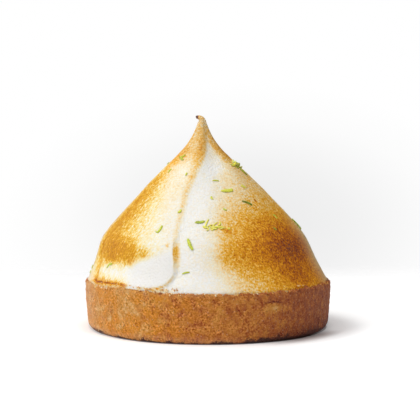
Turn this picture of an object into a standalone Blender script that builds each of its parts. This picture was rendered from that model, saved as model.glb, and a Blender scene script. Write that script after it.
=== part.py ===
"""A lemon meringue tartlet: a baked shortcrust case under one tall peak of torched meringue.

Two solids. "crust" is the golden shortcrust case, filled to its rim, with a flat foot and a
shallow seat on top. "meringue" is the peak that stands in that seat. It was drawn up with a
palette knife, so it has one sharp knife ridge that ends in a rounded lobe, softer ridges all
round, and a tip that curls over. Strips of grated lime zest are fused to it.

Metres, +Z up. The origin is at the middle of the foot, and -Y is the front, where the ridge
is. Azimuths run from the front (-Y) towards +X, in degrees.
"""

import math
import random

import bmesh
import bpy
from mathutils import Vector

# The crust, baked in an 80 mm tart ring, with a little draft and a rounded foot.
CRUST_RADIUS = 0.0400
CRUST_HEIGHT = 0.0155
FOOT_RADIUS = 0.0374
FOOT_CURVE_HEIGHT = 0.0028
DRAFT = 0.0007
LIP_ROUND = 0.0008
LIP_ROUND_HEIGHT = 0.0014
LIP_WIDTH = 0.0009
SEAT_RADIUS = 0.0374
SEAT_DEPTH = 0.0010
CRUST_SEGMENTS = 88
FOOT_ROWS, SIDE_ROWS, LIP_ROWS = 5, 5, 4
SIDE_FULLNESS = 0.7

# Hand-lined pastry isn't even. Its rim rises and falls, and its side swells, by waves that
# are given as (share, waves in a turn, twist per metre of height, phase).
LIP_WAVE, SWELL_WAVE = 0.00016, 0.00009
LIP_WAVES = ((1.0, 2, 0, 0.6), (0.6, 5, 0, 1.9))
SWELL_WAVES = ((1.0, 3, 0, 0.4), (0.6, 7, 240, 0), (0.5, 13, -330, 0))
LIP_WAVE_START = 0.0096
SWELL_START = 0.0040

# The meringue peak. The profile is two Bezier arcs, as (radius, height) points: a full lower
# body from the rim to the middle of the flank, and a hollow neck from there to the curl.
RIM_GAP = 0.0003
BODY_ARC = ((0.0392, 0.0158), (0.0308, 0.0321), (0.0377, 0.0256), (0.0206, 0.0438))
NECK_ARC = ((0.0206, 0.0438), (0.0088, 0.0567), (0.0047, 0.0575), (0.0014, 0.0669))
BODY_ROWS, BODY_BUNCHING = 20, 1.3
NECK_ROWS = 14
PEAK_SEGMENTS = 96
PEAK_BASE = BODY_ARC[0][1]
PEAK_TOP = 0.0689
LEAN = -0.0019
COLUMN_BUNCHING = 37.0

# The curl at the tip: the neck goes on, tapering, and bends over towards -X.
CURL_LENGTH = 0.0024
CURL_BEND_RADIUS = 0.0015
CURL_TIP_RADIUS = 0.0005
CURL_INSIDE = 0.85
CURL_ROUNDING = 0.9
CURL_ROWS = 6

# The knife ridge: the right edge of the last stroke, and the half-round lobe at its foot.
# A pair of heights says where something starts and where it is whole.
RIDGE_AZIMUTH = -16.8
RIDGE_TWIST, TWIST_SPAN = 17.3, (0.0440, 0.0640)
RIDGE_SWEEP, SWEEP_SPAN = 1.2, (0.0320, 0.0220)
LOBE_HALF_WIDTH = 12.5
LOBE_MIDDLE, LOBE_DROP = 0.0232, 0.0064
LOBE_SKIRT = 0.0026
STEP_AT_LOBE, STEP_ON_FLANK, STEP_AT_TIP = 0.0010, 0.0006, 0.0002
STEP_FLANK_SPAN, STEP_TIP_SPAN = (0.0270, 0.0350), (0.0500, PEAK_TOP)
STEP_OUT, STEP_IN = 0.0014, 0.0006
STROKE_SPREAD = 52.0
VALLEY_DEPTH, VALLEY_WIDTH = 0.0005, 0.0034
VALLEY_FOOT_SPAN, VALLEY_HEAD_SPAN = (0.0175, 0.0215), (0.0660, 0.0560)
VALLEY_SPREAD = 40.0

# The crease at the left end of that stroke, the shoulder of the stroke before it, and the
# soft ridges of the others, as (azimuth, share of the radius that the next hollow takes).
CREASE_AZIMUTH, CREASE_SLANT = -68.0, -620.0
CREASE_DEPTH, CREASE_WIDTH = 0.0005, 0.0013
CREASE_SPAN = (0.0360, 0.0270)
SHOULDER_AZIMUTH, SHOULDER_SPREAD = -90.0, 24.0
SHOULDER_HEIGHT, SHOULDER_RISE = 0.0290, 0.0070
SHOULDER_PROUD = 0.0005
SOFT_RIDGES = (
    (RIDGE_AZIMUTH, 0.14),
    (48.0, 0.03),
    (100.0, 0.07),
    (152.0, 0.06),
    (214.0, 0.07),
    (280.0, 0.02),
)
FLUTE_SPAN = (0.0360, 0.0560)
UNEVEN_WAVE, UNEVEN_SPAN = 0.00022, (PEAK_BASE, 0.0240)
UNEVEN_WAVES = ((1.0, 2, 60, 1.1), (0.7, 3, -90, 0), (0.4, 5, 150, 0))
UNEVEN_FULL_RADIUS = 0.0200
EDGE_LIFT = 0.0008
EDGE_LIFT_AZIMUTH, EDGE_LIFT_SPREAD = -56.0, 17.0
EDGE_SPAN = (0.0215, PEAK_BASE)

# Zest, as (azimuth, height, length, turn from level in degrees): the strips that stand out.
ZEST_WIDTH, ZEST_THICKNESS, ZEST_SUNK = 0.0008, 0.0007, 0.0003
ZEST_TAPER, ZEST_BOW = 0.3, 0.12
ZEST_SIDES = 4
ZEST_JOINTS = 4
FRONT_ZEST = (
    (26, 0.0455, 0.0040, 5),
    (-2, 0.0365, 0.0028, 8),
    (2, 0.0352, 0.0024, 35),
    (9, 0.0353, 0.0022, -5),
    (7, 0.0359, 0.0020, 50),
    (-8, 0.0303, 0.0042, -65),
    (-10, 0.0220, 0.0024, 14),
    (41, 0.0419, 0.0036, -35),
    (62, 0.0530, 0.0024, 5),
    (72, 0.0532, 0.0022, 60),
    (77, 0.0524, 0.0024, -25),
    (76, 0.0507, 0.0032, -72),
    (90, 0.0334, 0.0056, -58),
    (17, 0.0486, 0.0022, -5),
    (8, 0.0436, 0.0014, -75),
    (48, 0.0463, 0.0022, -30),
    (17, 0.0403, 0.0016, -40),
    (61, 0.0371, 0.0022, -60),
    (51, 0.0337, 0.0017, -55),
    (-49, 0.0557, 0.0026, 25),
    (-54, 0.0515, 0.0018, 80),
    (-21, 0.0508, 0.0013, 85),
    (-17, 0.0397, 0.0015, 50),
    (-27, 0.0345, 0.0030, 75),
    (-58, 0.0222, 0.0032, 50),
    (-88, 0.0190, 0.0016, 60),
)
BACK_ZEST_COUNT = 18
BACK_ZEST_AZIMUTHS = (105, 262)
BACK_ZEST_HEIGHTS = (0.0200, 0.0560)
BACK_ZEST_LENGTHS = (0.0014, 0.0042)
BACK_ZEST_TURN = 80
ZEST_SEED = 7

PASTRY_COLOUR = (0.49, 0.20, 0.06, 1.0)
MERINGUE_COLOUR = (0.82, 0.62, 0.34, 1.0)


def clear_scene():
    for obj in list(bpy.data.objects):
        bpy.data.objects.remove(obj, do_unlink=True)


def smooth(low, high, value):
    """0 below low, 1 above high, and a smooth rise between them."""
    share = min(1.0, max(0.0, (value - low) / (high - low)))
    return share * share * (3 - 2 * share)


def mix(start, end, share):
    return start + (end - start) * share


def bell(distance, width):
    return math.exp(-((distance / width) ** 2))


def turn_between(azimuth, other):
    """The angle from other to azimuth, from -180 to 180 degrees."""
    return (azimuth - other + 180) % 360 - 180


def bezier(points, share):
    """A point, as (radius, height), on the cubic Bezier arc of four points."""
    a, b, c, d = (Vector(point) for point in points)
    rest = 1 - share
    return a * rest**3 + b * 3 * rest**2 * share + c * 3 * rest * share**2 + d * share**3


def waves(azimuth, height, table):
    """A sum of waves round the tartlet, from a table of them."""
    angle = math.radians(azimuth)
    return sum(
        share * math.sin(count * angle + twist * height + phase)
        for share, count, twist, phase in table
    )


def ring_point(radius, azimuth, height):
    angle = math.radians(azimuth)
    return Vector((radius * math.sin(angle), -radius * math.cos(angle), height))


# --- The shortcrust case ---


def lip_rise(azimuth):
    """The rim of hand-lined pastry isn't quite level."""
    return LIP_WAVE * waves(azimuth, 0, LIP_WAVES)


def side_swell(azimuth, height):
    """How far the pastry's side stands out or in where it was pressed into the ring."""
    return SWELL_WAVE * waves(azimuth, height, SWELL_WAVES) * smooth(0, SWELL_START, height)


def crust_profile():
    """(radius, height) from the foot's edge, up the side, over the lip and down to the seat."""
    side_foot = CRUST_RADIUS - DRAFT
    side_top = CRUST_HEIGHT - LIP_ROUND_HEIGHT
    points = []
    for step in range(FOOT_ROWS):
        angle = math.radians(90 * step / (FOOT_ROWS - 1))
        radius = FOOT_RADIUS + (side_foot - FOOT_RADIUS) * math.sin(angle)
        points.append((radius, FOOT_CURVE_HEIGHT * (1 - math.cos(angle))))
    for step in range(1, SIDE_ROWS):
        share = step / SIDE_ROWS
        radius = mix(side_foot, CRUST_RADIUS, share**SIDE_FULLNESS)
        points.append((radius, mix(FOOT_CURVE_HEIGHT, side_top, share)))
    for step in range(LIP_ROWS):
        angle = math.radians(90 * step / (LIP_ROWS - 1))
        radius = CRUST_RADIUS - LIP_ROUND * (1 - math.cos(angle))
        points.append((radius, side_top + LIP_ROUND_HEIGHT * math.sin(angle)))
    lip_inside = CRUST_RADIUS - LIP_ROUND - LIP_WIDTH
    points.append((lip_inside, CRUST_HEIGHT))
    points.append((SEAT_RADIUS, CRUST_HEIGHT - SEAT_DEPTH))
    return points


def build_rings(name, rings, start, end):
    """A closed mesh from rings of points, with a flat fan from start and a fan to end."""
    mesh_maker = bmesh.new()
    rows = [[mesh_maker.verts.new(point) for point in ring] for ring in rings]
    count = len(rows[0])
    for lower, upper in zip(rows, rows[1:]):
        for i in range(count):
            j = (i + 1) % count
            mesh_maker.faces.new((lower[i], lower[j], upper[j], upper[i]))
    first, last = mesh_maker.verts.new(start), mesh_maker.verts.new(end)
    for i in range(count):
        j = (i + 1) % count
        mesh_maker.faces.new((first, rows[0][j], rows[0][i]))
        mesh_maker.faces.new((last, rows[-1][i], rows[-1][j]))
    mesh = bpy.data.meshes.new(name)
    mesh_maker.to_mesh(mesh)
    mesh_maker.free()
    mesh.shade_smooth()
    obj = bpy.data.objects.new(name, mesh)
    bpy.context.scene.collection.objects.link(obj)
    return obj


def build_crust():
    rings = []
    for radius, height in crust_profile():
        ring = []
        for i in range(CRUST_SEGMENTS):
            azimuth = 360 * i / CRUST_SEGMENTS
            lift = lip_rise(azimuth) * smooth(LIP_WAVE_START, CRUST_HEIGHT, height)
            if radius <= SEAT_RADIUS and height > FOOT_CURVE_HEIGHT:
                lift = 0.0
            swell = side_swell(azimuth, height) if radius > SEAT_RADIUS else 0.0
            ring.append(ring_point(radius + swell, azimuth, height + lift))
        rings.append(ring)
    seat = Vector((0, 0, CRUST_HEIGHT - SEAT_DEPTH))
    return build_rings("crust", rings, Vector((0, 0, 0)), seat)


# --- The meringue peak ---


def twist_at(height):
    """How far the ridges have wound to the right at a height."""
    return RIDGE_TWIST * smooth(*TWIST_SPAN, height)


def ridge_azimuth(height):
    """The knife ridge runs up the flank and winds to the right as it nears the tip."""
    return RIDGE_AZIMUTH + twist_at(height) + RIDGE_SWEEP * smooth(*SWEEP_SPAN, height)


def to_stroke_edge(turn, height, radius):
    """Metres to the last knife stroke's edge, positive on the stroke, at a turn from its ridge."""
    if height >= LOBE_MIDDLE:
        return -math.radians(turn) * radius
    across = 1 + turn / LOBE_HALF_WIDTH
    down = (LOBE_MIDDLE - height) / LOBE_DROP
    if across <= 0:
        return (1 - down) * LOBE_DROP + LOBE_SKIRT * smooth(0, -1, across)
    reach = math.hypot(across, down)
    width = LOBE_HALF_WIDTH * math.radians(radius)
    return math.hypot(across * width, down * LOBE_DROP) * (1 - reach) / reach


def knife_relief(azimuth, height, radius):
    """The stroke stands proud along its edge, with a shallow valley outside the step."""
    turn = turn_between(azimuth, ridge_azimuth(height))
    edge = to_stroke_edge(turn, height, radius)
    step = mix(STEP_AT_LOBE, STEP_ON_FLANK, smooth(*STEP_FLANK_SPAN, height))
    step = mix(step, STEP_AT_TIP, smooth(*STEP_TIP_SPAN, height))
    proud = step * smooth(-STEP_OUT, STEP_IN, edge) * smooth(-STROKE_SPREAD, 0, turn)
    valley = VALLEY_DEPTH * bell(edge + STEP_OUT + VALLEY_WIDTH / 2, VALLEY_WIDTH)
    valley *= smooth(*VALLEY_FOOT_SPAN, height) * smooth(*VALLEY_HEAD_SPAN, height)
    return proud - valley * smooth(VALLEY_SPREAD, 0, abs(turn))


def crease_relief(azimuth, height, radius):
    """The groove where the last stroke began, and the shoulder to the left of it."""
    crease = CREASE_AZIMUTH + CREASE_SLANT * (height - PEAK_BASE)
    distance = math.radians(turn_between(azimuth, crease)) * radius
    groove = CREASE_DEPTH * bell(distance, CREASE_WIDTH) * smooth(*CREASE_SPAN, height)
    shoulder = bell(turn_between(azimuth, SHOULDER_AZIMUTH), SHOULDER_SPREAD)
    shoulder *= bell(height - SHOULDER_HEIGHT, SHOULDER_RISE)
    return SHOULDER_PROUD * shoulder - groove


def flute(azimuth, height):
    """The share of the radius that the hollow between two soft ridges takes away."""
    untwisted = azimuth - twist_at(height)
    ends = [start for start, _ in SOFT_RIDGES[1:]] + [SOFT_RIDGES[0][0] + 360]
    for (start, depth), end in zip(SOFT_RIDGES, ends):
        along = (untwisted - start) % 360
        if along < end - start:
            hollow = math.sin(math.pi * along / (end - start)) ** 2
            return depth * hollow * smooth(*FLUTE_SPAN, height)
    return 0.0


def uneven(azimuth, height):
    return UNEVEN_WAVE * waves(azimuth, height, UNEVEN_WAVES) * smooth(*UNEVEN_SPAN, height)


def peak_radius(radius, azimuth, height):
    """The profile's radius, shaped by the knife."""
    shaped = radius * (1 - flute(azimuth, height)) + knife_relief(azimuth, height, radius)
    shaped += crease_relief(azimuth, height, radius)
    return shaped + uneven(azimuth, height) * min(1.0, radius / UNEVEN_FULL_RADIUS)


def lean_at(height):
    share = min(1.0, max(0.0, (height - PEAK_BASE) / (PEAK_TOP - PEAK_BASE)))
    return LEAN * (1 - (1 - share) ** 3)


def curl(point):
    """Bends what is above the neck's top over towards -X."""
    above = point.z - NECK_ARC[-1][1]
    if above <= 0:
        return point
    axis = lean_at(NECK_ARC[-1][1])
    angle = above / CURL_BEND_RADIUS
    out = CURL_BEND_RADIUS + max(point.x - axis, -CURL_INSIDE * CURL_BEND_RADIUS)
    x = axis - CURL_BEND_RADIUS + out * math.cos(angle)
    return Vector((x, point.y, NECK_ARC[-1][1] + out * math.sin(angle)))


def edge_lift(azimuth, height):
    """At the left front the lower edge stands a little clear of the pastry."""
    near_edge = smooth(*EDGE_SPAN, height)
    spread = bell(turn_between(azimuth, EDGE_LIFT_AZIMUTH), EDGE_LIFT_SPREAD)
    return (lip_rise(azimuth) + EDGE_LIFT * spread) * near_edge


def peak_point(radius, azimuth, height):
    """The point of the finished surface for a point of the turned profile."""
    point = ring_point(peak_radius(radius, azimuth, height), azimuth, height)
    point.x += lean_at(height)
    point.z += edge_lift(azimuth, height)
    return curl(point)


def peak_profile():
    """(radius, height) up the outside, from the lower edge to the end of the curl."""
    points = [bezier(BODY_ARC, (i / BODY_ROWS) ** BODY_BUNCHING) for i in range(BODY_ROWS)]
    points += [bezier(NECK_ARC, i / NECK_ROWS) for i in range(NECK_ROWS + 1)]
    neck_radius, neck_top = NECK_ARC[-1]
    for i in range(1, CURL_ROWS + 1):
        share = i / CURL_ROWS
        taper = mix(neck_radius, CURL_TIP_RADIUS, share)
        rounded = taper * math.cos(CURL_ROUNDING * share**4)
        points.append((rounded, neck_top + CURL_LENGTH * share))
    return points


def peak_azimuths():
    """The azimuths of the mesh's columns, bunched where the knife ridge is."""
    azimuths = []
    for i in range(PEAK_SEGMENTS):
        even = 360 * i / PEAK_SEGMENTS
        bunched = even - COLUMN_BUNCHING * math.sin(math.radians(even))
        azimuths.append(RIDGE_AZIMUTH + bunched)
    return azimuths


def underside_rings(azimuths):
    """The peak's hidden underside, which follows the seat and the lip with a small gap."""
    seat = CRUST_HEIGHT - SEAT_DEPTH + RIM_GAP
    lip_inside = CRUST_RADIUS - LIP_ROUND - LIP_WIDTH
    rings = []
    for radius, height, on_lip in (
        (SEAT_RADIUS - 2 * RIM_GAP, seat, 0),
        (lip_inside - 2 * RIM_GAP, CRUST_HEIGHT + RIM_GAP, 1),
        (lip_inside + RIM_GAP, CRUST_HEIGHT + RIM_GAP, 1),
    ):
        rise = [on_lip * lip_rise(azimuth) for azimuth in azimuths]
        rings.append([ring_point(radius, a, height + r) for a, r in zip(azimuths, rise)])
    return rings


def build_peak():
    azimuths = peak_azimuths()
    rings = underside_rings(azimuths)
    for radius, height in peak_profile():
        rings.append([peak_point(radius, azimuth, height) for azimuth in azimuths])
    seat = Vector((0, 0, CRUST_HEIGHT - SEAT_DEPTH + RIM_GAP))
    tip = sum(rings[-1], Vector()) / len(rings[-1])
    return build_rings("meringue", rings, seat, tip)


# --- The zest ---


def profile_radius(height):
    """The turned profile's radius at a height, found by halving."""
    arc = BODY_ARC if height < BODY_ARC[-1][1] else NECK_ARC
    low, high = 0.0, 1.0
    for _ in range(30):
        middle = (low + high) / 2
        low, high = (middle, high) if bezier(arc, middle)[1] < height else (low, middle)
    return bezier(arc, low)[0]


def surface(azimuth, height):
    """The surface point, and its level, upward and outward directions."""
    small_turn, small_rise = 0.4, 0.0002

    def at(turn, rise):
        level = height + rise
        return peak_point(profile_radius(level), azimuth + turn, level)

    along = (at(small_turn, 0) - at(-small_turn, 0)).normalized()
    upward = (at(0, small_rise) - at(0, -small_rise)).normalized()
    return at(0, 0), along, upward, along.cross(upward).normalized()


def build_zest(name, azimuth, height, length, turn):
    """One bent strip of peel, four-sided, lying on the meringue and sunk in a little."""
    place, along, upward, outward = surface(azimuth, height)
    angle = math.radians(turn)
    run = along * math.cos(angle) + upward * math.sin(angle)
    side = outward.cross(run)
    to_corner = math.sqrt(0.5)
    mesh_maker = bmesh.new()
    rings = []
    for i in range(ZEST_JOINTS):
        share = 2 * i / (ZEST_JOINTS - 1) - 1
        width = ZEST_WIDTH * (1 - ZEST_TAPER * share * share)
        bow = side * (ZEST_BOW * length * (1 - share * share))
        middle = place + run * (share * length / 2) + bow
        middle += outward * (ZEST_THICKNESS / 2 - ZEST_SUNK)
        ring = []
        for corner in range(ZEST_SIDES):
            around = math.radians(45 + 360 * corner / ZEST_SIDES)
            reach = side * (math.cos(around) * width * to_corner)
            rise = outward * (math.sin(around) * ZEST_THICKNESS * to_corner)
            ring.append(middle + reach + rise)
        rings.append([mesh_maker.verts.new(point) for point in ring])
    for lower, upper in zip(rings, rings[1:]):
        for i in range(ZEST_SIDES):
            j = (i + 1) % ZEST_SIDES
            mesh_maker.faces.new((lower[i], lower[j], upper[j], upper[i]))
    mesh_maker.faces.new(rings[0][::-1])
    mesh_maker.faces.new(rings[-1])
    bmesh.ops.recalc_face_normals(mesh_maker, faces=mesh_maker.faces)
    mesh = bpy.data.meshes.new(name)
    mesh_maker.to_mesh(mesh)
    mesh_maker.free()
    return bpy.data.objects.new(name, mesh)


def zest_places():
    """The strips that stand out in front, and a seeded scatter round the back."""
    draw = random.Random(ZEST_SEED)
    places = list(FRONT_ZEST)
    start, end = BACK_ZEST_AZIMUTHS
    for i in range(BACK_ZEST_COUNT):
        share = (i + draw.uniform(0.2, 0.8)) / BACK_ZEST_COUNT
        height = draw.uniform(*BACK_ZEST_HEIGHTS)
        length = draw.uniform(*BACK_ZEST_LENGTHS)
        turn = draw.uniform(-BACK_ZEST_TURN, BACK_ZEST_TURN)
        places.append((mix(start, end, share), height, length, turn))
    return places


def fuse_zest(peak):
    """One Boolean union joins every strip to the meringue, and the loose strips go."""
    strips = bpy.data.collections.new("zest")
    bpy.context.scene.collection.children.link(strips)
    for number, place in enumerate(zest_places()):
        strips.objects.link(build_zest(f"zest_{number}", *place))
    union = peak.modifiers.new("zest", "BOOLEAN")
    union.operation = "UNION"
    union.operand_type = "COLLECTION"
    union.collection = strips
    union.solver = "MANIFOLD"
    bpy.context.view_layer.objects.active = peak
    bpy.ops.object.modifier_apply(modifier=union.name)
    for strip in list(strips.objects):
        bpy.data.objects.remove(strip, do_unlink=True)
    bpy.data.collections.remove(strips)


def finish(obj, name, colour, roughness):
    material = bpy.data.materials.new(name)
    material.use_nodes = True
    shader = material.node_tree.nodes["Principled BSDF"]
    shader.inputs["Base Color"].default_value = colour
    shader.inputs["Roughness"].default_value = roughness
    shader.inputs["Metallic"].default_value = 0.0
    obj.data.materials.clear()
    obj.data.materials.append(material)


def build_tartlet():
    clear_scene()
    finish(build_crust(), "shortcrust", PASTRY_COLOUR, 0.75)
    peak = build_peak()
    fuse_zest(peak)
    finish(peak, "torched_meringue", MERINGUE_COLOUR, 0.6)


build_tartlet()
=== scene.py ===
"""The looks of a lemon meringue tartlet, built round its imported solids, from the pastry up."""

import math
import random

import bpy
import mathutils
import numpy as np
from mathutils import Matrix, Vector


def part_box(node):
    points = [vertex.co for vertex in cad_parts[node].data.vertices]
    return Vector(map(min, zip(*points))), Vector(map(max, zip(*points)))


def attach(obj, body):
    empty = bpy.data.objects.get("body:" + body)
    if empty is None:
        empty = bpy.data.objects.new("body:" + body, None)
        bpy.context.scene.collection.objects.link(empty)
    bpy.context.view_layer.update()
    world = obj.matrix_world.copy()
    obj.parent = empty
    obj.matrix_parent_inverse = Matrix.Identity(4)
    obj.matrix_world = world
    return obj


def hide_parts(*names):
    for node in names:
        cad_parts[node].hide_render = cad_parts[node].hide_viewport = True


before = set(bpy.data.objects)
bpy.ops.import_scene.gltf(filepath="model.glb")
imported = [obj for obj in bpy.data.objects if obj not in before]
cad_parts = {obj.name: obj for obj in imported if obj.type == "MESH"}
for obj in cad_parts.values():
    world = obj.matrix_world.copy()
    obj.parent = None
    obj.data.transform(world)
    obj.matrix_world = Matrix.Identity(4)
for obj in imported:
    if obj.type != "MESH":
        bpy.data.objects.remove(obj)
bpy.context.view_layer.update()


# --- The shortcrust case ---
# A case of sweet shortcrust, blind-baked in an 80 mm ring until it is golden brown, then
# filled to its rim. Its side has the crumb of cut and pressed dough, with paler flecks of
# sugar and flour, and it is the piece that everything else stands on.
crust_low, crust_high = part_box("crust")
crust_radius = (crust_high.x - crust_low.x) / 2
crust_top = 0.0155
foot_radius, foot_curve = 0.0374, 0.0028
side_draft = 0.0007
lip_height, lip_round = 0.0014, 0.0008
seat_radius, seat_depth = 0.0374, 0.001


def turned(name, arcs, steps):
    """Draws each arc of a profile as a Bezier curve, joins them, and spins them round Z."""
    drawn = []
    for points, rows in arcs:
        bpy.ops.object.select_all(action="DESELECT")
        bpy.ops.curve.primitive_bezier_curve_add(location=(0, 0, 0))
        arc = bpy.context.object
        arc.data.resolution_u = rows
        (r0, z0), (r1, z1), (r2, z2), (r3, z3) = points
        first, last = arc.data.splines[0].bezier_points
        for knot, before, middle, after in (
            (first, (r0, 0, z0), (r0, 0, z0), (r1, 0, z1)),
            (last, (r2, 0, z2), (r3, 0, z3), (r3, 0, z3)),
        ):
            knot.handle_left_type = knot.handle_right_type = "FREE"
            knot.co, knot.handle_left, knot.handle_right = middle, before, after
        bpy.ops.object.convert(target="MESH")
        drawn.append(bpy.context.object)
    for arc in drawn:
        arc.select_set(True)
    bpy.context.view_layer.objects.active = drawn[0]
    bpy.ops.object.join()
    piece = bpy.context.object
    piece.name = name
    bpy.ops.object.mode_set(mode="EDIT")
    bpy.ops.mesh.select_all(action="SELECT")
    bpy.ops.mesh.remove_doubles(threshold=1e-6)
    bpy.ops.mesh.spin(steps=steps, angle=math.tau, center=(0, 0, 0), axis=(0, 0, 1))
    bpy.ops.mesh.select_all(action="SELECT")
    bpy.ops.mesh.remove_doubles(threshold=1e-7)
    bpy.ops.mesh.normals_make_consistent(inside=False)
    bpy.ops.object.mode_set(mode="OBJECT")
    bpy.ops.object.shade_smooth()
    return piece


def straight(start, end, rows):
    """A straight arc, from one (radius, height) point to another."""
    (r0, z0), (r1, z1) = start, end
    third = ((2 * r0 + r1) / 3, (2 * z0 + z1) / 3)
    two_thirds = ((r0 + 2 * r1) / 3, (z0 + 2 * z1) / 3)
    return (start, third, two_thirds, end), rows


side_foot = (crust_radius - side_draft, foot_curve)
side_top = (crust_radius, crust_top - lip_height)
lip_outside = (crust_radius - lip_round, crust_top)
lip_inside = (crust_radius - 2 * lip_round, crust_top)
seat_edge = (seat_radius, crust_top - seat_depth)
crust = turned(
    "crust_fine",
    (
        straight((0, 0), (foot_radius, 0), 5),
        (((foot_radius, 0), (0.0385, 0), (side_foot[0], 0.0012), side_foot), 14),
        ((side_foot, (0.0396, 0.007), (crust_radius, 0.01), side_top), 44),
        ((side_top, (crust_radius, 0.0151), (0.0397, crust_top), lip_outside), 9),
        straight(lip_outside, lip_inside, 4),
        straight(lip_inside, seat_edge, 4),
        straight(seat_edge, (0, crust_top - seat_depth), 4),
    ),
    steps=960,
)


def points_of(piece):
    """A mesh's points as an array, with a row for each."""
    points = np.empty(len(piece.data.vertices) * 3)
    piece.data.vertices.foreach_get("co", points)
    return points.reshape(-1, 3)


def put_points(piece, points):
    """Puts such an array back into the mesh."""
    piece.data.vertices.foreach_set("co", points.ravel())
    piece.data.update()


def smooth(low, high, value):
    """0 below low, 1 above high, and a smooth rise between them."""
    share = np.clip((value - low) / (high - low), 0, 1)
    return share * share * (3 - 2 * share)


def window(value, start, full, fading, gone):
    """A smooth rise from 0 at start to 1 at full, and a fall from fading to 0 at gone."""
    return smooth(start, full, value) * smooth(gone, fading, value)


def bell(distance, width):
    """1 at no distance, and nearly 0 at two widths."""
    return np.exp(-((distance / width) ** 2))


def roughen(piece, name, kind, grain, depth, group="", noise_depth=2):
    """Pushes a piece's points in and out by a procedural texture, and applies it."""
    texture = bpy.data.textures.new(name, kind)
    texture.noise_scale = grain
    if kind == "CLOUDS":
        texture.noise_depth = noise_depth
    push = piece.modifiers.new(name, "DISPLACE")
    push.texture = texture
    push.texture_coords = "LOCAL"
    push.strength = depth
    push.mid_level = 0.5
    push.vertex_group = group
    bpy.context.view_layer.objects.active = piece
    bpy.ops.object.modifier_apply(modifier=name)


def weigh(piece, name, weights):
    """A vertex group from an array of weights, in even steps."""
    group, steps = piece.vertex_groups.new(name=name), 20
    for level in range(1, steps + 1):
        held = np.nonzero(np.round(weights * steps).astype(int) == level)[0]
        group.add(held.tolist(), level / steps, "REPLACE")


# The side is pressed dough: a slow swell from the ring, then crumb, then single grains.
points = points_of(crust)
outside = smooth(0.0384, 0.039, np.hypot(points[:, 0], points[:, 1]))
outside *= smooth(0.0002, 0.0016, points[:, 2])
weigh(crust, "baked_side", outside)
roughen(crust, "swell", "CLOUDS", 0.009, 0.0003, "baked_side", 1)
roughen(crust, "crumb", "CLOUDS", 0.0016, 0.00036, "baked_side", 3)
roughen(crust, "grains", "STUCCI", 0.0007, 0.00026, "baked_side")
weigh(crust, "broken_rim", smooth(0.0138, 0.0153, points[:, 2]) * outside)
roughen(crust, "broken", "CLOUDS", 0.0011, 0.0007, "broken_rim", 2)
points = points_of(crust)
angle = np.arctan2(points[:, 0], -points[:, 1])
azimuth, height = np.degrees(angle), points[:, 2].copy()
# The rim was pressed by hand: it stands highest at the left front, and is low at the right.
rim_hump, hump_azimuth, hump_width = 0.0011, -40, 14
rim_dip = 0.00045


def rim_rise(azimuth):
    """How far the rim stands above or below its mean height at each azimuth, in degrees."""
    angle = np.radians(azimuth)
    rise = 0.00016 * np.sin(2 * angle + 0.6) + 0.0001 * np.sin(5 * angle + 1.9)
    rise += rim_hump * bell(azimuth - hump_azimuth, hump_width)
    return rise - rim_dip * window(azimuth, 66, 92, 115, 150)


points[:, 2] += rim_rise(azimuth) * smooth(0.6 * crust_top, crust_top, height) * outside
jags = 0.00011 * np.sin(23 * angle + 0.4) + 0.00011 * np.sin(41 * angle + 2.2)
jags += 0.00009 * np.sin(67 * angle + 4.1) + 0.00007 * np.sin(97 * angle + 1.3)
jags *= 1 + 0.8 * window(azimuth, 5, 15, 75, 90)
points[:, 2] += (0.00012 + jags) * smooth(0.0143, crust_top, height) * outside
# A shallow crack opened in the side as it cooled, with a paler scab under it.
crack_height, crack_width, crack_depth = 0.0124, 0.00022, 0.00035
crack_line = crack_height + 0.0003 * np.sin(np.radians((azimuth - 26) * 20))
crack = bell(height - crack_line, crack_width) * window(azimuth, 25, 28, 33, 37)
scab = bell(azimuth - 31, 4.5) * bell(height - 0.0106, 0.0013)
points[:, :2] *= 1 - crack_depth * crack[:, None] / crust_radius
points[:, 2] = np.maximum(points[:, 2], 0)
put_points(crust, points)
# How much paler, or darker where it is below 0, each part of the side is drawn: patches the oven
# left, a crack with its scab, painted light on the left and painted shade on the right and its
# foot.
patches = 0.1 * bell(azimuth + 41, 4) * bell(height - 0.0085, 0.0022)
patches += 0.26 * scab - 0.35 * crack
# Painted light: the left of the side is drawn paler.
patches += 0.21 * window(azimuth, -130, -95, -40, -12)
# Painted shade: the right of the side is drawn darker.
patches -= 0.185 * window(azimuth, 5, 62, 110, 150)
patches += 0.03 * smooth(0.0135, 0.015, height) * window(azimuth, -40, -20, 10, 30)
# Painted shade: the foot at the right is drawn darker.
patches -= 0.14 * smooth(0.006, 0.001, height) * window(azimuth, 15, 45, 110, 150)
patches += 0.1 * bell(azimuth + 145, 30) - 0.08 * bell(azimuth - 150, 25)
bake_and_light_layer = crust.data.attributes.new("bake_and_painted_light", "FLOAT", "POINT")
bake_and_light_layer.data.foreach_set("value", patches.astype(np.float32))


def put(tree, socket, value):
    """Links a socket to another one, or gives it a value. A colour comes without its alpha."""
    if isinstance(value, bpy.types.NodeSocket):
        tree.links.new(value, socket)
    elif socket.type == "RGBA":
        socket.default_value = (*value, 1)
    else:
        socket.default_value = value


def fill(tree, node, **values):
    """Gives a node's inputs, by their names, each a value or another socket."""
    for name, value in values.items():
        put(tree, node.inputs[name.replace("_", " ")], value)
    return node


def add_node(tree, kind, **values):
    """A shader node of a kind, such as TexNoise, with its inputs filled."""
    return fill(tree, tree.nodes.new("ShaderNode" + kind), **values)


def math_node(tree, operation, *values, clamp=False):
    """A Math node's output, from two or three values or sockets."""
    node = add_node(tree, "Math")
    node.operation = operation
    node.use_clamp = clamp
    for socket, value in zip(node.inputs, values):
        put(tree, socket, value)
    return node.outputs[0]


def times(tree, first, second):
    """The product of two values or sockets."""
    return math_node(tree, "MULTIPLY", first, second)


def scaled(tree, value, factor, added):
    """A value times a factor, and something added, each a value or a socket."""
    return math_node(tree, "MULTIPLY_ADD", value, factor, added)


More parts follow.
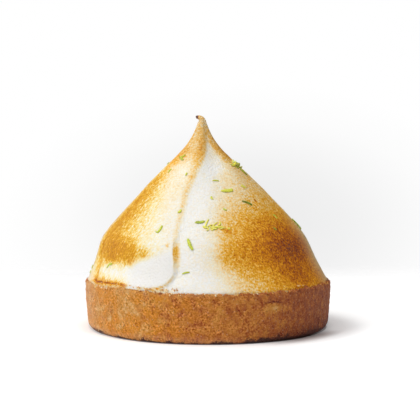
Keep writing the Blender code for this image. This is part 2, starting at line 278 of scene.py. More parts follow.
def noise(tree, place, size, detail, roughness=0.5):
    """A noise's level, from 0 to 1, with blots of about a size in metres."""
    node = add_node(tree, "TexNoise", Vector=place, Scale=1 / size, Detail=detail,
                    Roughness=roughness)
    return node.outputs["Fac"]


def centred(tree, level):
    """A level of 0 to 1, moved to run from -0.5 to 0.5."""
    return math_node(tree, "SUBTRACT", level, 0.5)


def ramp_node(tree, level, stops):
    """A colour ramp's output. Its stops are (level, red, green, blue)."""
    ramp = add_node(tree, "ValToRGB")
    put(tree, ramp.inputs[0], level)
    elements = ramp.color_ramp.elements
    while len(elements) < len(stops):
        elements.new(0.5)
    for element, (place, *colour) in zip(elements, stops):
        element.position = place
        element.color = (*colour, 1)
    return ramp.outputs[0]


def make_mottle():
    """The blotches and grains of anything browned: a level is moved up and down by noise."""
    group = bpy.data.node_groups.new("baked_mottle", "ShaderNodeTree")
    face = group.interface
    face.new_socket("Vector", in_out="INPUT", socket_type="NodeSocketVector")
    for name in ("Level", "Blotch Scale", "Blotch", "Grain Scale", "Grain"):
        face.new_socket(name, in_out="INPUT", socket_type="NodeSocketFloat")
    face.new_socket("Level", in_out="OUTPUT", socket_type="NodeSocketFloat")
    face.new_socket("Height", in_out="OUTPUT", socket_type="NodeSocketFloat")
    given = group.nodes.new("NodeGroupInput").outputs
    made = group.nodes.new("NodeGroupOutput").inputs
    blotch = add_node(group, "TexNoise", Vector=given["Vector"],
                      Scale=given["Blotch Scale"], Detail=3.0, Roughness=0.55)
    grain = add_node(group, "TexNoise", Vector=given["Vector"],
                     Scale=given["Grain Scale"], Detail=2.5, Roughness=0.6)
    broad, fine = centred(group, blotch.outputs["Fac"]), centred(group, grain.outputs["Fac"])
    level = scaled(group, broad, given["Blotch"], given["Level"])
    level = scaled(group, fine, given["Grain"], level)
    put(group, made["Level"], level)
    put(group, made["Height"], grain.outputs["Fac"])
    return group


mottle_group = make_mottle()


def mottle(tree, place, level, blotch_size, blotch, grain_size, grain):
    """The mottle group in a material, with its sizes in metres."""
    node = add_node(tree, "Group")
    node.node_tree = mottle_group
    fill(tree, node, Vector=place, Level=level, Blotch_Scale=1 / blotch_size, Blotch=blotch,
         Grain_Scale=1 / grain_size, Grain=grain)
    return node.outputs["Level"], node.outputs["Height"]


def new_material(name, **finish):
    """A material and its tree, its shader, with its finish set, and object coordinates."""
    material = bpy.data.materials.new(name)
    material.use_nodes = True
    tree = material.node_tree
    shader = fill(tree, tree.nodes["Principled BSDF"], **finish)
    place = add_node(tree, "TexCoord").outputs["Object"]
    return material, tree, shader, place


def bump(tree, shader, height, distance, strength=1.0):
    """Raises a material's skin by a height map, to a distance in metres."""
    node = add_node(tree, "Bump", Height=height, Distance=distance, Strength=strength)
    fill(tree, shader, Normal=node.outputs["Normal"])


def mix_colour(tree, share, first, second):
    """A mix of two colours, each a socket or a colour, by a share that is a socket."""
    node = add_node(tree, "Mix")
    node.data_type = "RGBA"
    return fill(tree, node, Factor=share, A=first, B=second).outputs["Result"]


def tinged(tree, colour, tint, strength, *masks):
    """A colour with a share of a tint mixed in where every mask is 1."""
    share = masks[0]
    for mask in masks[1:]:
        share = times(tree, share, mask)
    return mix_colour(tree, times(tree, share, strength), colour, tint)


def grained(tree, grain, tint, colour):
    """A colour with a tint added where a grain is above 0, and taken off where it is below."""
    node = add_node(tree, "VectorMath")
    node.operation = "MULTIPLY_ADD"
    for socket, value in zip(node.inputs, (grain, tint, colour)):
        put(tree, socket, value)
    return node.outputs["Vector"]


def between(tree, value, low, high):
    """0 where a value is below low, 1 above high, and a smooth rise between them."""
    node = add_node(tree, "MapRange", Value=value, From_Min=low, From_Max=high)
    node.interpolation_type = "SMOOTHSTEP"
    return node.outputs["Result"]


def attribute(tree, name):
    """A value that each point of the mesh carries under a name."""
    node = add_node(tree, "Attribute")
    node.attribute_name = name
    return node.outputs["Fac"]


def specks(tree, place, cell, radius, share, shift):
    """A mask of small round specks, one in some of the cells of a Voronoi pattern."""
    moved = add_node(tree, "Mapping", Vector=place, Location=(shift, shift, shift))
    cells = add_node(tree, "TexVoronoi", Vector=moved.outputs[0], Scale=1 / cell)
    near = between(tree, cells.outputs["Distance"], radius, radius * 0.6)
    drawn = add_node(tree, "SeparateColor", Color=cells.outputs["Color"])
    chosen = math_node(tree, "LESS_THAN", drawn.outputs[0], share)
    return times(tree, near, chosen)


def give_finish(piece, material):
    """Makes a material the only one of its piece."""
    piece.data.materials.clear()
    piece.data.materials.append(material)


PASTRY_STOPS = (
    (0.00, 0.110, 0.022, 0.008),
    (0.22, 0.270, 0.062, 0.016),
    (0.42, 0.445, 0.124, 0.024),
    (0.58, 0.580, 0.206, 0.032),
    (0.76, 0.690, 0.315, 0.058),
    (1.00, 0.790, 0.540, 0.260),
)
pastry, tree, shader, place = new_material(
    "baked_pastry", Roughness=0.66, Specular_IOR_Level=0.22,
    Sheen_Weight=0.11, Sheen_Roughness=0.45, Sheen_Tint=(1.0, 0.8, 0.72),
)
across = add_node(tree, "SeparateXYZ", Vector=place)
sideways, upwards = across.outputs["X"], across.outputs["Z"]
mean_bake = 0.535
level = math_node(tree, "ADD", attribute(tree, "bake_and_painted_light"), mean_bake)
level, height = mottle(tree, place, level, 0.0024, 0.85, 0.00052, 0.34)
# The ring dragged the dough on the right, and left upright streaks.
drag = add_node(tree, "Mapping", Vector=place, Scale=(1, 1, 0.12))
streak = centred(tree, noise(tree, drag.outputs[0], 0.0009, 1.5))
streak = times(tree, streak, between(tree, sideways, 0.018, 0.034))
level = scaled(tree, streak, 0.55, level)
colour = ramp_node(tree, level, PASTRY_STOPS)
# The butter turned it golden in patches, more to the left.
hue = noise(tree, place, 0.0036, 2.5)
golden = between(tree, hue, 0.45, 0.6), between(tree, sideways, 0.012, -0.022)
colour = tinged(tree, colour, (0.71, 0.258, 0.01), 0.75, *golden)
# The single grains are paler or darker, more than they are redder.
fine = centred(tree, noise(tree, place, 0.0006, 3.0, 0.68))
coarse = scaled(tree, between(tree, sideways, 0.03, -0.014), 1.6, 1.4)
patchy = between(tree, noise(tree, place, 0.003, 2.0), 0.42, 0.6)
patchy = scaled(tree, patchy, 0.9, 0.5)
fine = times(tree, fine, times(tree, coarse, patchy))
colour = grained(tree, fine, (0.42, 0.23, 0.085), colour)
pitted = scaled(tree, between(tree, sideways, -0.02, 0.012), 0.35, 0.3)
pits = specks(tree, place, 0.0014, 0.24, 0.5, 0.0)
colour = tinged(tree, colour, (0.24, 0.06, 0.024), pitted, pits)
flour = specks(tree, place, 0.0011, 0.24, 0.5, 0.01)
colour = tinged(tree, colour, (0.76, 0.52, 0.33), 0.34, flour)
# The foot has painted bounce light from the floor at the left, and at the right a ragged dark
# line that is partly charred crust and partly painted contact shadow.
ragged = scaled(tree, height, 0.0024, upwards)
painted_bounce_foot = times(tree, between(tree, ragged, 0.0044, 0.0022), 0.15)
painted_bounce_foot = times(tree, painted_bounce_foot, between(tree, sideways, 0.016, 0.0))
paler = times(tree, between(tree, sideways, -0.024, -0.034), 0.3)
painted_bounce_foot = scaled(tree, paler, painted_bounce_foot, painted_bounce_foot)
colour = mix_colour(tree, painted_bounce_foot, colour, (0.64, 0.36, 0.27))
burnt_and_shaded_foot = between(tree, sideways, 0.006, 0.026)
burnt_and_shaded_foot = scaled(tree, burnt_and_shaded_foot, -0.0008, ragged)
burnt_and_shaded_foot = scaled(tree, hue, 0.005, burnt_and_shaded_foot)
colour = mix_colour(tree, between(tree, burnt_and_shaded_foot, 0.005, 0.004), colour, (0.075, 0.02, 0.012))
# The rim is crumbly and pale at the left, and scorched at the right.
crumbly = between(tree, ragged, 0.0157, 0.0166), between(tree, sideways, 0.012, -0.006)
colour = tinged(tree, colour, (0.78, 0.5, 0.25), 0.15, *crumbly)
scorched = between(tree, ragged, 0.016, 0.0168), between(tree, sideways, 0.002, 0.014)
colour = tinged(tree, colour, (0.26, 0.055, 0.016), 0.15, *scorched)
# A painted rim light makes the far left edge of the side paler.
painted_rim_light_edge = between(tree, sideways, -0.0345, -0.0398)
colour = tinged(tree, colour, (0.72, 0.43, 0.28), 0.34, painted_rim_light_edge)
redder = between(tree, sideways, 0.016, 0.032)
colour = tinged(tree, colour, (0.23, 0.04, 0.01), 0.19, redder)
fill(tree, shader, Base_Color=colour)
bump(tree, shader, height, 0.0009)
give_finish(crust, pastry)
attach(crust, "root")
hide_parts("crust")


# --- The meringue ---
# Italian meringue, egg white whisked with hot syrup, heaped on the case and drawn up into a
# peak with a palette knife. The last stroke left one sharp ridge with a rounded lobe at its
# foot, and the knife pulled the tip over. It holds to the case by its own stickiness.
peak_base, peak_top = 0.0158, 0.0689
edge_radius = 0.0392
waist = (0.0206, 0.0438)
neck_top = (0.0014, 0.0669)
lean = -0.0019
curl_length, curl_bend, curl_tip = 0.0024, 0.0015, 0.0005
ridge_foot, ridge_twist, ridge_sweep = -16.8, 17.3, 1.2
twist_start, twist_end = 0.044, 0.064
lobe_width, lobe_middle, lobe_drop, lobe_skirt = 12.5, 0.0232, 0.0064, 0.0026
step_height, step_high_up, step_at_tip = 0.001, 0.0003, 0.0002
step_in, step_out, step_out_lobe, step_out_high = 0.0004, 0.0011, 0.0014, 0.0022
stroke_spread = 52.0
valley_depth, valley_width, valley_spread = 0.0005, 0.0034, 40.0
crease_foot, crease_slope, crease_base = -68.0, 620.0, 0.0163
crease_depth, crease_width, shoulder_rise = 0.0005, 0.0013, 0.0005
edge_gap, edge_gap_azimuth, edge_gap_width = 0.0006, -58.0, 17.0
column_bunching = 27.0
# The soft ridges, each with the depth of the hollow after it as a share of the radius.
soft_ridges = (
    (ridge_foot, 0.14), (48.0, 0.03), (100.0, 0.07), (152.0, 0.06), (214.0, 0.07), (280.0, 0.02),
)


def turn_between(azimuth, other):
    """The angle from other to azimuth, from -180 to 180 degrees."""
    return (azimuth - other + 180) % 360 - 180


def ridge_azimuth(height):
    """The knife ridge runs up the flank and winds to the right as it nears the tip."""
    wound = ridge_foot + ridge_twist * smooth(twist_start, twist_end, height)
    return wound + ridge_sweep * smooth(0.032, 0.022, height)


def to_stroke_edge(turn, height, radius):
    """Metres to the last stroke's edge, positive on the stroke, at a turn from its ridge."""
    across = 1 + turn / lobe_width
    down = (lobe_middle - height) / lobe_drop
    reach = np.maximum(np.hypot(across, down), 1e-6)
    ray = np.hypot(across * lobe_width * np.radians(radius), down * lobe_drop)
    lobe = np.where(
        across > 0,
        ray * (1 - reach) / reach,
        (1 - down) * lobe_drop + lobe_skirt * smooth(0, -1, across),
    )
    return np.where(down <= 0, -np.radians(turn) * radius, lobe)


def knife_relief(azimuth, height, radius):
    """The last stroke stands proud along its edge, with a shallow valley outside the step."""
    turn = turn_between(azimuth, ridge_azimuth(height))
    edge = to_stroke_edge(turn, height, radius)
    step = step_height + (step_high_up - step_height) * smooth(0.027, 0.035, height)
    step += (step_at_tip - step_high_up) * smooth(0.05, peak_top, height)
    out = step_out + (step_out_lobe - step_out) * smooth(0.0235, 0.0205, height)
    out += (step_out_high - step_out) * smooth(0.03, 0.036, height)
    proud = step * smooth(-out, step_in, edge) * smooth(-stroke_spread, 0, turn)
    valley = valley_depth * bell(edge + out + valley_width / 2, valley_width)
    valley *= window(height, 0.0175, 0.0215, 0.056, 0.066)
    return proud - valley * smooth(valley_spread, 0, np.abs(turn))


def to_crease(azimuth, height, radius):
    """Metres round the flank to the crease, which climbs from the rim and leans left."""
    crease = crease_foot - crease_slope * (height - crease_base)
    return np.radians(turn_between(azimuth, crease)) * radius


def crease_relief(azimuth, height, radius):
    """The groove where that stroke began, and the shoulder of the stroke before it."""
    groove = crease_depth * bell(to_crease(azimuth, height, radius), crease_width)
    shoulder = bell(turn_between(azimuth, -90.0), 24.0) * bell(height - 0.029, 0.007)
    return shoulder_rise * shoulder - groove * smooth(0.036, 0.027, height)


def flutes(azimuth, height):
    """The share of the radius that the hollows between the soft ridges take away."""
    turned_back = azimuth - ridge_twist * smooth(twist_start, twist_end, height)
    taken = np.zeros_like(azimuth)
    ends = [start for start, _ in soft_ridges[1:]] + [soft_ridges[0][0] + 360]
    for (start, depth), end in zip(soft_ridges, ends):
        along = (turned_back - start) % 360
        hollow = np.sin(np.pi * along / (end - start)) ** 2
        taken += np.where(along < end - start, depth * hollow, 0)
    return taken * smooth(0.036, 0.056, height)


def unevenness(azimuth, height):
    """The long, slight waves that no knife stroke quite smoothed away."""
    angle = np.radians(azimuth)
    waves = np.sin(2 * angle + 1.1 + 60 * height) + 0.7 * np.sin(3 * angle - 90 * height)
    waves += 0.4 * np.sin(5 * angle + 150 * height)
    return 0.00022 * waves * smooth(peak_base, 0.024, height)


def lean_at(height):
    """How far to the right the axis of the peak has moved at each height."""
    share = np.clip((height - peak_base) / (peak_top - peak_base), 0, 1)
    return lean * (1 - (1 - share) ** 3)


def rim_lift(azimuth, height):
    """The lower edge follows the rim, and stands a little clear of it at the left front."""
    rim = rim_rise(turn_between(azimuth, 0))
    clear = edge_gap * bell(turn_between(azimuth, edge_gap_azimuth), edge_gap_width)
    return (rim + clear) * smooth(0.0215, peak_base, height)


def knifed(azimuth, radius, height):
    """Where the knife leaves a point of the turned shape, as an array of points."""
    shaped = radius * (1 - flutes(azimuth, height)) + knife_relief(azimuth, height, radius)
    shaped += crease_relief(azimuth, height, radius)
    shaped += unevenness(azimuth, height) * np.minimum(1, radius / 0.02)
    angle = np.radians(azimuth)
    x = shaped * np.sin(angle) + lean_at(height)
    y = -shaped * np.cos(angle)
    z = height + rim_lift(azimuth, height)
    axis = lean_at(neck_top[1])
    bend = np.maximum(z - neck_top[1], 0) / curl_bend
    out = curl_bend + np.maximum(x - axis, -0.85 * curl_bend)
    curled = z > neck_top[1]
    x = np.where(curled, axis - curl_bend + out * np.cos(bend), x)
    z = np.where(curled, neck_top[1] + out * np.sin(bend), z)
    return np.stack([x, y, z], axis=-1)


body_arc = ((edge_radius, peak_base), (0.0308, 0.0321), (0.0377, 0.0256), waist)
neck_arc = (waist, (0.0088, 0.0567), (0.0047, 0.0575), neck_top)
curl_end = (curl_tip, neck_top[1] + curl_length)
curl_point = (0, curl_end[1] + curl_tip)
underside = crust_top - seat_depth
meringue = turned(
    "meringue_fine",
    (
        straight((0, underside), (0.037, underside), 4),
        straight((0.037, underside), (0.0382, crust_top - 0.0006), 2),
        straight((0.0382, crust_top - 0.0006), (0.0389, crust_top - 0.0004), 2),
        straight((0.0389, crust_top - 0.0004), (edge_radius, peak_base), 2),
        (body_arc, 80),
        (neck_arc, 66),
        straight(neck_top, curl_end, 10),
        ((curl_end, (curl_tip, curl_end[1] + 0.0003), (0.0004, curl_point[1]), curl_point), 5),
    ),
    steps=580,
)
# The columns of points stand closest at the knife ridge, whose edge is sharp.
points = points_of(meringue)
radius, height = np.hypot(points[:, 0], points[:, 1]), points[:, 2]
even = np.degrees(np.arctan2(points[:, 0], -points[:, 1])) % 360
azimuth = ridge_foot + even - column_bunching * np.sin(np.radians(even))
shown = height > peak_base - 1e-6
angle = np.radians(azimuth)
flat = np.stack([radius * np.sin(angle), -radius * np.cos(angle), height], axis=-1)
put_points(meringue, np.where(shown[:, None], knifed(azimuth, radius, height), flat))

# The blowtorch: how brown its flame left the right belly and the left flank, by height and
# then round them, as (place, depth), and single marks as (azimuth, height, half width in
# degrees, half height, depth). A depth of 0 is white, 1 a deep brown.
belly_heights = (
    (0.016, 0.64), (0.022, 0.72), (0.025, 0.82), (0.0285, 0.87), (0.033, 0.76), (0.037, 0.61),
    (0.04, 0.47), (0.043, 0.41), (0.046, 0.34), (0.049, 0.29), (0.055, 0.29), (0.059, 0.23),
    (0.062, 0.12), (0.065, 0.0),
)
belly_turns = (
    (-14, 0.0), (-4, 0.12), (4, 0.29), (12, 0.47), (20, 0.62), (28, 0.74), (36, 0.82), (44, 0.94),
    (54, 0.98), (60, 0.96), (66, 0.9), (72, 0.78), (78, 0.6), (84, 0.38), (92, 0.16), (104, 0.0),
)
flank_heights = (
    (0.016, 0.24), (0.02, 0.24), (0.022, 0.3), (0.025, 0.5), (0.029, 0.58), (0.039, 0.58),
    (0.043, 0.57), (0.049, 0.45), (0.055, 0.28), (0.059, 0.16), (0.064, 0.08), (0.068, 0.0),
)
flank_turns = (
    (-104, 0.0), (-92, 0.12), (-84, 0.38), (-76, 0.86), (-69, 1.12), (-60, 0.9), (-52, 0.66),
    (-44, 0.46), (-36, 0.29), (-28, 0.17), (-20, 0.11), (-14, 0.04), (-8, 0.0),
)
crest_heights = (
    (0.03, 0.12), (0.044, 0.17), (0.05, 0.27), (0.058, 0.2), (0.062, 0.1), (0.066, 0.05),
)
torch_marks = (
    (-34, 0.0268, 6, 0.0021, 0.32),
    (3, 0.0506, 2.4, 0.0007, 0.4),
    (51, 0.0424, 0.9, 0.0004, 0.9),
    (15, 0.0341, 2.0, 0.0008, 0.28),
    (11, 0.0352, 1.2, 0.0005, 0.25),
    (-20, 0.03, 1.0, 0.0006, 0.28),
    (-54, 0.0168, 14, 0.0011, 0.28),
    # These four marks on the lowest edge are partly burnt and partly painted shade of the gap
    # under it.
    (-63, 0.0163, 5, 0.0004, 0.7),
    (-48, 0.0163, 9, 0.0004, 0.5),
    (-41, 0.0161, 1.6, 0.0005, 0.7),
    (-20, 0.0161, 7, 0.0005, 0.3),
    (72, 0.051, 16, 0.004, 0.07),
    (-38.5, 0.024, 3, 0.0013, 0.32),
    (10, 0.0262, 7, 0.0038, 0.12),
    (8, 0.0353, 5, 0.0012, 0.12),
    (-24, 0.048, 9, 0.005, 0.09),
    (48, 0.02, 10, 0.003, 0.12),
    (68, 0.028, 8, 0.004, 0.07),
    (132, 0.033, 26, 0.013, 0.62),
    (150, 0.052, 22, 0.009, 0.3),
    (80, 0.055, 22, 0.005, 0.04),
    (196, 0.025, 20, 0.008, 0.5),
    (214, 0.044, 12, 0.012, 0.55),
    (248, 0.036, 20, 0.012, 0.6),
    (264, 0.022, 12, 0.005, 0.3),
)


def table_at(place, table):
    """The depth of a (place, depth) table at each place."""
    return np.interp(place, *np.transpose(table))


def torched(azimuth, height, radius):
    """How brown the torch left each place, how speckled, and where the lobe is smooth."""
    right = turn_between(azimuth, 0)
    slip = 5 * smooth(0.024, 0.019, height) + 9 * smooth(0.038, 0.046, height)
    slip += 26 * smooth(0.048, 0.055, height)
    slip += 14 * smooth(50, 80, right) * smooth(0.028, 0.044, height)
    level = table_at(height, belly_heights) * table_at(right - slip, belly_turns)
    level += table_at(height, flank_heights) * table_at(right, flank_turns)
    level += (0.27 + 0.03 * smooth(-20, 20, right)) * smooth(0.051, 0.058, height)
    for mark_azimuth, mark_height, wide, high, depth in torch_marks:
        mark = bell(turn_between(azimuth, mark_azimuth), wide) * bell(height - mark_height, high)
        level += depth * mark
    # The flame stopped at the lobe in a hard-edged patch, and missed a band under it.
    patch = window(right, -70, -56, -40.5, -37) * window(height, 0.0222, 0.025, 0.0285, 0.033)
    missed = window(right, -70, -60, -38, -30) * bell(height - 0.0206, 0.0017)
    level = (level + 0.31 * patch) * (1 - 0.6 * missed)
    seam = bell(to_crease(azimuth, height, radius), crease_width)
    level += 0.22 * seam * smooth(0.038, 0.03, height)
    # It caught the ridge's crest, its face and the hem of its lobe; the hem's dark line is partly
    # toasted and partly painted shadow under the lobe's edge.
    turn = turn_between(azimuth, ridge_azimuth(height))
    edge = to_stroke_edge(turn, height, radius)
    near = (np.abs(turn) < 60).astype(float)
    wide = 0.0011 + 0.0022 * smooth(0.044, 0.056, height)
    over = 0.0012 + 0.001 * smooth(0.032, 0.04, height)
    crest = table_at(height, crest_heights) * smooth(0.029, 0.033, height)
    crest = crest * smooth(-over, -0.0003, edge) * smooth(wide, 0.0, edge)
    face = window(edge, -0.0024, -0.0008, 0.0, 0.0003)
    face *= window(height, 0.0208, 0.0238, 0.0284, 0.0322)
    hem = smooth(0.0216, 0.02, height) * bell(edge + 0.0003, 0.0003)
    hem *= 0.18 + 0.26 * bell(right + 24, 5)
    # The lobe, and the valley beside the ridge, stayed white.
    lobe_top = 0.0268 + 0.00017 * (right + 22)
    lobe = near * smooth(0.0002, 0.0008, edge) * smooth(-44, -35, right)
    lobe *= smooth(lobe_top + 0.002, lobe_top - 0.0016, height)
    reach = np.interp(height, (0.049, 0.053, 0.056, 0.0593, 0.0625), (23, 48, 50, 38, 18))
    valley = smooth(-0.0012, -0.0026, edge) * smooth(reach + 9, reach - 7, turn)
    valley *= smooth(0.064, 0.061, height) * (0.6 + 0.08 * smooth(0.05, 0.054, height))
    level *= (1 - lobe) * (1 - near * valley)
    level += near * (crest + (0.1 + 0.34 * smooth(0.0225, 0.0292, height)) * face + hem)
    # Only the tip is charred.
    level = np.minimum(level, 0.88) + smooth(0.0688, 0.0694, height)
    calm = near * np.maximum(0.35 * face, 0.75 * lobe)
    calm = np.maximum(calm, 0.12 * smooth(0.048, 0.058, height))
    return np.clip(level, 0.02, 1.2), 1 - calm, lobe


level, speckled, pressed = torched(azimuth, height, radius)
right = turn_between(azimuth, 0)
# Painted rim light on the far left edge, and painted shade on the far right and the neck.
painted_rim_light = window(right, -104, -92, -87, -79) * smooth(0.056, 0.05, height)
painted_shade_grey = window(right, 62, 82, 98, 112) * smooth(0.04, 0.028, height)
painted_shade_grey = np.maximum(painted_shade_grey, 0.3 * smooth(0.053, 0.059, height))
for name, values in (
    ("browned", np.where(shown, level, 0.2)), ("speckled", speckled),
    ("painted_rim_light", painted_rim_light), ("painted_shade_grey", painted_shade_grey), ("pressed", pressed),
):
    held = meringue.data.attributes.new(name, "FLOAT", "POINT")
    held.data.foreach_set("value", values.astype(np.float32))
skin = shown.astype(float)
below_neck = smooth(0.064, 0.056, height)
weigh(meringue, "soft_skin", skin * smooth(peak_base, 0.018, height) * below_neck)
roughen(meringue, "knife_drag", "CLOUDS", 0.006, 0.0002, "soft_skin", 1)
blistered = skin * np.clip(0.15 + 1.2 * level, 0, 1) * speckled
weigh(meringue, "blistered_skin", blistered * below_neck)
roughen(meringue, "blisters", "CLOUDS", 0.0008, 0.00018, "blistered_skin", 2)
weigh(meringue, "frothy_edge", skin * smooth(0.0179, 0.0161, height))
roughen(meringue, "froth", "CLOUDS", 0.001, 0.0006, "frothy_edge", 1)

MERINGUE_STOPS = (
    (0.00, 0.880, 0.872, 0.840),
    (0.15, 0.880, 0.770, 0.540),
    (0.30, 0.865, 0.607, 0.262),
    (0.42, 0.825, 0.450, 0.056),
    (0.54, 0.740, 0.322, 0.010),
    (0.66, 0.600, 0.200, 0.007),
    (0.78, 0.440, 0.118, 0.009),
    (0.90, 0.260, 0.058, 0.012),
    (1.00, 0.120, 0.050, 0.048),
)
GOLDEN_STOPS = (
    (0.00, 0.880, 0.872, 0.840),
    (0.15, 0.880, 0.790, 0.520),
    (0.30, 0.860, 0.640, 0.200),
    (0.42, 0.800, 0.460, 0.050),
    (0.54, 0.710, 0.345, 0.010),
    (0.66, 0.590, 0.240, 0.006),
    (0.80, 0.410, 0.130, 0.006),
    (1.00, 0.200, 0.050, 0.010),
)
whipped, tree, shader, place = new_material(
    "torched_egg_white", Roughness=0.55, Specular_IOR_Level=0.14,
    Subsurface_Weight=0.1, Subsurface_Radius=(1.0, 0.8, 0.6), Subsurface_Scale=0.001,
)
brown = attribute(tree, "browned")
strength = math_node(tree, "MULTIPLY_ADD", brown, 2.0, 0.2, clamp=True)
strength = times(tree, strength, attribute(tree, "speckled"))
# On the left flank the skin dried in fine wrinkles that run up the slope.
slope = add_node(tree, "Mapping", Vector=place, Rotation=(0, math.radians(-60), 0),
                 Scale=(2.6, 1.0, 1.0))
slope.vector_type = "TEXTURE"
side = add_node(tree, "SeparateXYZ", Vector=place)
wrinkled = between(tree, side.outputs["X"], -0.0115, -0.0165)
wrinkle = centred(tree, noise(tree, slope.outputs[0], 0.0006, 2.0, 0.6))
wrinkle = times(tree, wrinkle, times(tree, wrinkled, strength))
grain = scaled(tree, wrinkled, -0.1, 1.0)
level, height_map = mottle(
    tree, place, brown, 0.0022, times(tree, strength, 0.34), 0.00062, times(tree, strength, grain)
)
level = math_node(tree, "ADD", wrinkle, level)
# There the torch stopped at a deep gold. A painted rim light makes it pinkish at the far left,
# and painted shade makes it greyish at the far right and on the neck.
deep_gold, gold_held = 0.58, -0.6
excess = math_node(tree, "MAXIMUM", math_node(tree, "SUBTRACT", level, deep_gold), 0.0)
spared = times(tree, wrinkled, between(tree, side.outputs["Z"], 0.0172, 0.019))
excess = times(tree, excess, times(tree, spared, gold_held))
level = math_node(tree, "ADD", level, excess)
colour = ramp_node(tree, level, MERINGUE_STOPS)
colour = mix_colour(tree, spared, colour, ramp_node(tree, level, GOLDEN_STOPS))
colour = tinged(tree, colour, (0.62, 0.43, 0.31), 0.42, attribute(tree, "painted_rim_light"))
colour = tinged(tree, colour, (0.43, 0.33, 0.25), 0.55, attribute(tree, "painted_shade_grey"))
colour = tinged(tree, colour, (0.8, 0.79, 0.79), 0.45, attribute(tree, "pressed"))
char = times(tree, centred(tree, noise(tree, place, 0.00045, 2.0, 0.6)), strength)
colour = grained(tree, char, (0.42, 0.25, 0.08), colour)
fill(tree, shader, Base_Color=colour)
height_map = math_node(tree, "ADD", wrinkle, height_map)
bump(tree, shader, height_map, 0.0004, 0.9)
give_finish(meringue, whipped)
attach(meringue, "root")
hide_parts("meringue")


# --- The crumbs on the rim ---
# Loose crumbs of the baked shortcrust, which break from the rim where the meringue was
# spread over it. They lie on the rim and stick in the meringue's lower edge.
crumb_makers = []
for number, stretch in enumerate(((1.0, 0.7, 0.6), (0.8, 0.8, 0.7), (1.0, 0.5, 0.45))):
    bpy.ops.object.select_all(action="DESELECT")
    bpy.ops.mesh.primitive_ico_sphere_add(subdivisions=1, radius=0.5, location=(0, 0, 0))
    crumb = bpy.context.object
    crumb.name = f"crumb_{number}"
    bpy.ops.object.mode_set(mode="EDIT")
    bpy.ops.mesh.select_all(action="SELECT")
    bpy.ops.transform.resize(value=stretch)
    bpy.ops.mesh.bisect(plane_co=(0.1, 0, 0), plane_no=(1, 0.3, 0.1))
    bpy.ops.mesh.select_all(action="SELECT")
    bpy.ops.transform.vertex_random(offset=0.13, uniform=0.7, seed=number)
    bpy.ops.object.mode_set(mode="OBJECT")
    crumb_makers.append(crumb)

draw = random.Random(11)


def copy_of(maker, matrix, tint):
    """A copy of a modelled bit, with its own mesh, put in its place and given its tint."""
    bit = maker.copy()
    bit.data = maker.data.copy()
    bpy.context.scene.collection.objects.link(bit)
    bit.data.transform(matrix)
    tints = bit.data.attributes.new("tint", "FLOAT", "POINT")
    tints.data.foreach_set("value", [tint] * len(bit.data.vertices))
    return bit


def joined(name, bits, makers):
    """Joins placed bits into one piece, and removes what they were copied from."""
    bpy.ops.object.select_all(action="DESELECT")
    for bit in bits:
        bit.select_set(True)
    bpy.context.view_layer.objects.active = bits[0]
    bpy.ops.object.join()
    piece = bpy.context.object
    piece.name = name
    for maker in makers:
        bpy.data.objects.remove(maker, do_unlink=True)
    bpy.ops.object.select_all(action="DESELECT")
    return piece


# The meringue's radius at each height, from its turned outline.
arc_points = []
for (r0, z0), (r1, z1), (r2, z2), (r3, z3) in (body_arc, neck_arc):
    for share in np.linspace(0, 1, 200):
        rest = 1 - share
        a, b, c, d = rest**3, 3 * share * rest**2, 3 * share**2 * rest, share**3
        arc_points.append((a * z0 + b * z1 + c * z2 + d * z3, a * r0 + b * r1 + c * r2 + d * r3))
arc_heights, arc_radii = np.transpose(sorted(arc_points))


def on_meringue(azimuth, height):
    """A point of the meringue, and its level, upward and outward directions."""
    turns = np.array([0.0, -0.4, 0.4, 0.0, 0.0]) + azimuth
    rises = np.array([0.0, 0.0, 0.0, -0.0002, 0.0002]) + height
    radii = np.interp(rises, arc_heights, arc_radii)
    here, left, right, below, above = knifed(turns, radii, rises)
    along = mathutils.Vector(right - left).normalized()
    upward = mathutils.Vector(above - below).normalized()
    return mathutils.Vector(here), along, upward, along.cross(upward).normalized()


def crumb_at(place, size, tint):
    """One of the modelled crumbs, turned anyhow and put in its place."""
    spin = mathutils.Euler([draw.uniform(0, math.tau) for _ in range(3)]).to_matrix().to_4x4()
    matrix = mathutils.Matrix.Translation(place) @ spin @ mathutils.Matrix.Scale(size, 4)
    return copy_of(draw.choice(crumb_makers), matrix, tint)


# Those on the rim are (how many, from and to azimuth, largest, darkest and palest tint).
bits = []
for count, start, end, largest, darkest, palest in (
    (50, -66, -34, 0.001, 0.4, 1.0), (60, -34, -6, 0.0009, 0.1, 1.0),
    (30, -6, 26, 0.0008, 0.4, 1.0), (70, 26, 80, 0.0011, 0.0, 0.5),
    (110, 80, 286, 0.0009, 0.0, 0.6),
):
    for _ in range(count):
        around = math.radians(draw.uniform(start, end))
        out = crust_radius - draw.uniform(0.0001, 0.001)
        size = draw.uniform(0.0004, largest)
        top = crust_top + float(rim_rise(turn_between(math.degrees(around), 0)))
        drop = max(0.0, out - (crust_radius - lip_round)) ** 2 * 900
        up = top - drop + 0.2 * size
        place = mathutils.Vector((out * math.sin(around), -out * math.cos(around), up))
        bits.append(crumb_at(place, size, draw.uniform(darkest, palest)))
